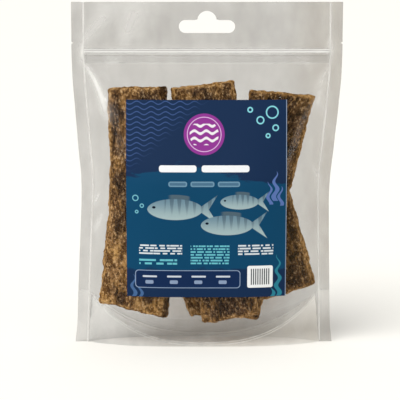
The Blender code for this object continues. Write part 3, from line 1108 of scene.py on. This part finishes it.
def ink(*rgb):
    return tuple(max(0.001, PRINT_LEVEL * c - PRINT_GLOSS) for c in linear(*rgb))


def box_at(left, bottom, right, top, corner=0.2, soft=0.12):
    """1 inside a rounded box."""
    along = (abs(u - (left + right) / 2) - ((right - left) / 2 - corner)).math("MAXIMUM", 0)
    up = (abs(v - (bottom + top) / 2) - ((top - bottom) / 2 - corner)).math("MAXIMUM", 0)
    return (along * along + up * up).math("SQRT").rise(corner + soft, corner - soft)


def from_spot(middle_u, middle_v):
    along, up = u - middle_u, v - middle_v
    return (along * along + up * up).math("SQRT")


def ring_at(middle_u, middle_v, radius, thick):
    return abs(from_spot(middle_u, middle_v) - radius).rise(thick / 2 + 0.12, thick / 2 - 0.12)


def fine_bars(left, bottom, right, top, rows, length, seed):
    """Rows of bars, broken at uneven lengths."""
    level = (v - bottom) * (rows / (top - bottom))
    row = level.math("FLOOR")
    bar = abs(level.math("FRACT") - 0.5).rise(0.34, 0.22)
    sockets = {"W": u * (1 / length) + row * 7.31 + seed, "Scale": 1, "Detail": 0}
    breaks = label_nodes.add("ShaderNodeTexNoise", {"noise_dimensions": "1D"}, sockets)
    return bar * breaks.rise(0.36, 0.42) * box_at(left, bottom, right, top, 0.1)


def waves(pitch, height, length, thick):
    """Parallel wavy lines, one above the other."""
    level = (v + (u * (2 * math.pi / length)).math("SINE") * height) * (1 / pitch)
    return abs(level.math("FRACT") - 0.5).rise(thick / pitch / 2 + 0.05, thick / pitch / 2 - 0.03)


def fish_at(nose_u, middle_v, length, half_tall):
    """A fish that faces left: its body and forked tail, and separately its fin, stripes and eye."""
    along = (u - nose_u) / length
    up = (v - middle_v) / half_tall
    body = (along * (0.84 - along)).math("MAXIMUM", 0).math("SQRT") * 2.38
    tail = (along - 0.74).math("MAXIMUM", 0) * 4.2
    fork = (abs(up) * 0.1 + 0.93 - along).rise(-0.004, 0.004)
    solid = (body.math("MAXIMUM", tail) - abs(up) - 0.04).rise(-0.03, 0.03) * fork
    fin = (along - 0.3).rise(0, 0.08) * (0.66 - along).rise(0, 0.05)
    fin = fin * (body + 0.34 - up).rise(-0.03, 0.03) * up.rise(0.3, 0.5)
    stripes = ((along * 55).math("SINE") + up * 0.8).rise(0.35, 0.75) * (along - 0.24).rise(0, 0.05)
    eye = ((along - 0.1) * (along - 0.1) * 9 + (up - 0.18) * (up - 0.18) * 0.5).rise(0.008, 0.005)
    return solid, fin * (1 - solid), stripes, eye


brush_place = label_nodes.add("ShaderNodeCombineXYZ", sockets={0: u * 0.35, 1: v})
brush = label_nodes.noise(brush_place, 0.16, 4, 0.6)
edge = (u * (math.pi / 70)).math("SINE") * 6 + brush * 22
teal = (edge + 62 - v).rise(-1.2, 1.2) * (v + brush * 10 - 22).rise(-1.2, 1.2)
colour = teal.blend(ink(34, 53, 84), ink(18, 74, 107))

# Thin waves in the upper left corner, fading out to the right and downwards.
near_corner = (u * 0.9 + (116.3 - v)).rise(46, 30)
colour = (waves(3, 0.9, 8.5, 0.55) * near_corner * 0.75).blend(colour, ink(72, 98, 152))
for thick, tint, spots in BUBBLES:
    for middle_u, middle_v, radius in spots:
        colour = ring_at(middle_u, middle_v, radius, thick).blend(colour, ink(*tint))
for tint, ribbons in WEED:
    for root_u, foot, head, wide in ribbons:
        stem = u - ((v * (2 * math.pi / 9)).math("SINE") * 1.1 + root_u)
        up = (v - foot) / (head - foot)
        ribbon = (wide * (1 - up * up) - abs(stem)).rise(-0.1, 0.1)
        colour = (ribbon * up.rise(0, 0.02) * up.rise(1, 0.98)).blend(colour, ink(*tint))

# A round field with a thin ring and three waves in it.
disc_u, disc_v = 46, 97.4
disc = from_spot(disc_u, disc_v)
colour = disc.rise(12.1, 11.9).blend(colour, ink(146, 60, 148))
colour = ring_at(disc_u, disc_v, 9.9, 0.45).blend(colour, ink(226, 190, 228))
swell = waves(4.2, 0.85, 7, 1.5) * disc.rise(8.6, 8.4) * abs(v - disc_v).rise(6.2, 6.1)
colour = swell.blend(colour, ink(240, 236, 240))

# Two white bars, and three outlined ones below.
for left, right in ((19.5, 41.5), (44.5, 72.5)):
    colour = box_at(left, 75.6, right, 79.6, 1.5).blend(colour, ink(244, 246, 248))
for left, right in ((25, 36), (38, 52), (54, 67)):
    bar = box_at(left, 67, right, 70.2, 1.3) - box_at(left + 0.8, 67.8, right - 0.8, 69.4, 0.5) * 0.55
    colour = bar.blend(colour, ink(112, 150, 174))

for nose_u, middle_v, length, tall in FISH:
    solid, fin, stripes, eye = fish_at(nose_u, middle_v, length, tall)
    flank = (v - middle_v).rise(-tall, tall)
    skin = flank.blend(ink(168, 190, 192), ink(112, 142, 158))
    skin = (stripes * flank * 0.7).blend(skin, ink(78, 98, 112))
    skin = eye.blend(skin, ink(20, 30, 44))
    colour = fin.blend(colour, ink(84, 104, 116))
    colour = solid.blend(colour, skin)
for *block, tint in BAR_BLOCKS:
    colour = fine_bars(*block).blend(colour, ink(*tint))

# A ruled panel with four pairs of bars, and a white field with even strokes.
colour = box_at(5, 5.6, 67.5, 16.6, 2.2).blend(colour, ink(150, 170, 198))
colour = box_at(5.4, 6, 67.1, 16.2, 1.9).blend(colour, ink(32, 50, 86))
for left in (9.5, 24, 38.5, 53):
    colour = box_at(left, 12.2, left + 8.5, 13.3, 0.4).blend(colour, ink(206, 214, 226))
    colour = box_at(left + 1.6, 8.2, left + 6.4, 10.4, 0.7).blend(colour, ink(142, 160, 190))
colour = box_at(71.6, 5.8, 86.8, 19.2, 1.2).blend(colour, ink(246, 248, 248))
strokes = abs(((u - 73.4) * (1 / 1.3)).math("FRACT") - 0.5).rise(0.3, 0.2)
strokes = strokes * box_at(73.4, 7.6, 85.1, 17.4, 0.1)
colour = strokes.blend(colour, ink(52, 56, 64))
# The white film shows as a thin line along the right edge.
label_nodes.feed("Base Color", (u - 94.3).rise(-0.1, 0.1).blend(colour, ink(150, 166, 190)))
backing_material, backing_nodes = new_material("label_backing", roughness=0.6)
backing_cloud = backing_nodes.noise(backing_nodes.place(), 60)
backing_nodes.feed("Base Color", backing_cloud.blend((0.86, 0.86, 0.85), (0.92, 0.92, 0.91)))

x = LABEL_SHIFT + LABEL_WIDE * np.linspace(-0.5, 0.5, LABEL_COLUMNS)
z = np.linspace(LABEL_BOTTOM, LABEL_TOP, LABEL_ROWS)
x, z = np.meshgrid(x, z)
y = film_y(x, z, -1)
inner = np.stack([x, y - LABEL_GLUE, z], -1).reshape(-1, 3)
outer = np.stack([x, y - LABEL_GLUE - LABEL_THICK, z], -1).reshape(-1, 3)
grid = np.arange(x.size).reshape(x.shape)
under = grid + x.size
rims = [(under[0], grid[0]), (grid[-1], under[-1])]
rims += [(grid[:, 0], under[:, 0]), (under[:, -1], grid[:, -1])]
faces = []
for index in (grid, under[:, ::-1], *(np.vstack(rim) for rim in rims)):
    faces.extend(quads(index))
mesh = bpy.data.meshes.new("label_sheet")
mesh.from_pydata(np.concatenate([outer, inner]).tolist(), [], faces)
fronts = (LABEL_COLUMNS - 1) * (LABEL_ROWS - 1)
behind = np.zeros(len(faces), np.int32)
behind[fronts : 2 * fronts] = 1
mesh.materials.append(label_material)
mesh.materials.append(backing_material)
mesh.polygons.foreach_set("material_index", behind)
mesh.update()
mesh.shade_smooth()
mesh.set_sharp_from_angle(angle=math.radians(50))
label = new_object("label_sheet", mesh)
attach(label, "root")
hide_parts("label")
